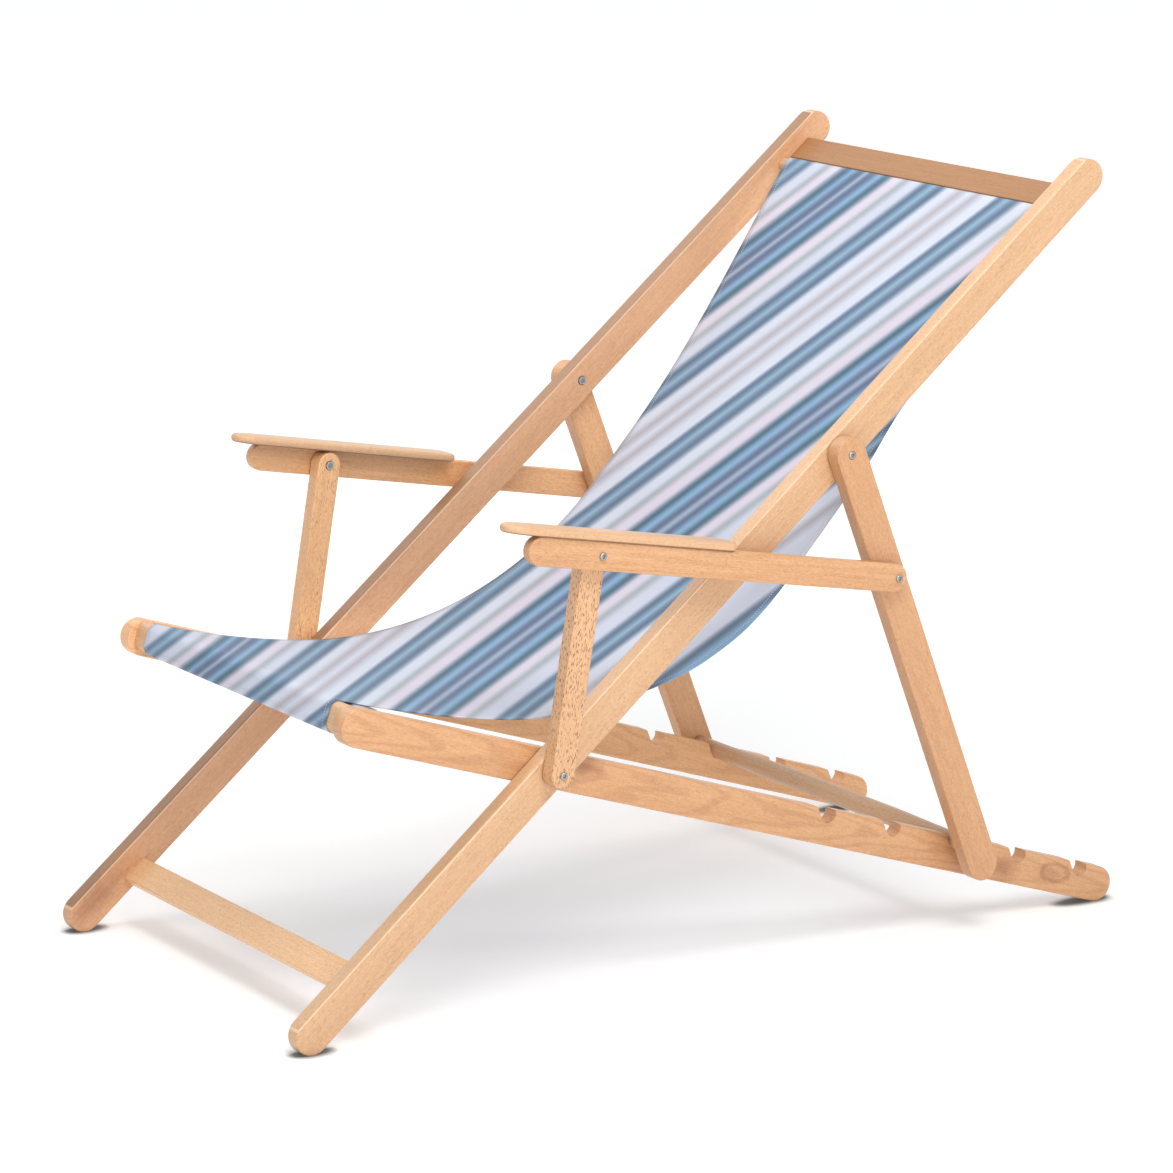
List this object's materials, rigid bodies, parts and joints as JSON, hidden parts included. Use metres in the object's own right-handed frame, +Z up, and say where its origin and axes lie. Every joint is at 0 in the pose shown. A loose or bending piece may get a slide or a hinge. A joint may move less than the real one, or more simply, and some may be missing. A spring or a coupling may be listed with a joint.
{
  "type": "deck chair with armrests",
  "caption": "Folding wooden deck chair with armrests: a striped canvas sling hangs between crossed rails, and a prop's crossbar sits in a notched base.",
  "frame": {"origin": "on the floor, under the centre of the opened chair", "axes": "+Z up, -Y the way the sitter faces, +X the sitter's left"},
  "size_m": [0.629, 1.118, 0.8884],
  "materials": {
    "beech": "smooth oiled beech",
    "zinc_steel": "zinc plated",
    "striped_canvas": "plain-woven striped cotton",
    "nylon": "matte"
  },
  "bodies": {
    "back_frame": {"back_rail_left": "beech", "back_rail_right": "beech", "top_slat": "beech", "foot_stretcher": "beech", "canvas_rod": "beech", "canvas": "striped_canvas", "main_pivot_bolts": "zinc_steel", "main_pivot_nuts": "zinc_steel", "prop_pivot_bolts": "zinc_steel", "prop_pivot_nuts": "zinc_steel", "base_washers": "nylon", "post_washers": "nylon", "leg_washers": "nylon"},
    "base_frame": {"base_rail_left": "beech", "base_rail_right": "beech", "front_rail": "beech"},
    "prop_frame": {"prop_leg_left": "beech", "prop_leg_right": "beech", "prop_crossbar": "beech", "arm_studs": "zinc_steel", "arm_stud_nuts": "zinc_steel"},
    "arm_post_left_body": {"arm_post_left": "beech"},
    "arm_post_right_body": {"arm_post_right": "beech"},
    "arm_left": {"arm_bar_left": "beech", "arm_pad_left": "beech", "pad_dowels_left": "beech", "arm_front_bolt_left": "zinc_steel", "arm_front_nut_left": "zinc_steel", "arm_rear_bolt_left": "zinc_steel", "arm_washer_left": "nylon"},
    "arm_right": {"arm_bar_right": "beech", "arm_pad_right": "beech", "pad_dowels_right": "beech", "arm_front_bolt_right": "zinc_steel", "arm_front_nut_right": "zinc_steel", "arm_rear_bolt_right": "zinc_steel", "arm_washer_right": "nylon"}
  },
  "joints": [
    {"name": "prop_fold", "type": "hinge", "parent": "back_frame", "child": "prop_frame", "pos_m": [0, 0.13581, 0.58373], "axis": [1, 0, 0], "range_deg": [0, 108.1]},
    {"name": "base_fold", "type": "hinge", "parent": "back_frame", "child": "base_frame", "pos_m": [0, -0.2401, 0.26942], "axis": [1, 0, 0], "range_deg": [0, 57.66], "deforming": ["canvas"]},
    {"name": "post_turn_left", "type": "hinge", "parent": "back_frame", "child": "arm_post_left_body", "pos_m": [0.2855, -0.2401, 0.26942], "axis": [1, 0, 0], "range_deg": [-41.01, 0]},
    {"name": "post_turn_right", "type": "hinge", "parent": "back_frame", "child": "arm_post_right_body", "pos_m": [-0.2855, -0.2401, 0.26942], "axis": [1, 0, 0], "range_deg": [-41.01, 0]},
    {"name": "arm_turn_left", "type": "hinge", "parent": "arm_post_left_body", "child": "arm_left", "pos_m": [0.3035, -0.2016, 0.50977], "axis": [1, 0, 0], "range_deg": [0, 90.83]},
    {"name": "arm_turn_right", "type": "hinge", "parent": "arm_post_right_body", "child": "arm_right", "pos_m": [-0.3035, -0.2016, 0.50977], "axis": [1, 0, 0], "range_deg": [0, 90.83]}
  ],
  "couplings": [
    {"joint": "base_fold", "follows": "prop_fold", "ratio": 0.53327},
    {"joint": "post_turn_left", "follows": "prop_fold", "ratio": -0.37928},
    {"joint": "post_turn_right", "follows": "prop_fold", "ratio": -0.37928},
    {"joint": "arm_turn_left", "follows": "prop_fold", "ratio": 0.84016},
    {"joint": "arm_turn_right", "follows": "prop_fold", "ratio": 0.84016}
  ]
}
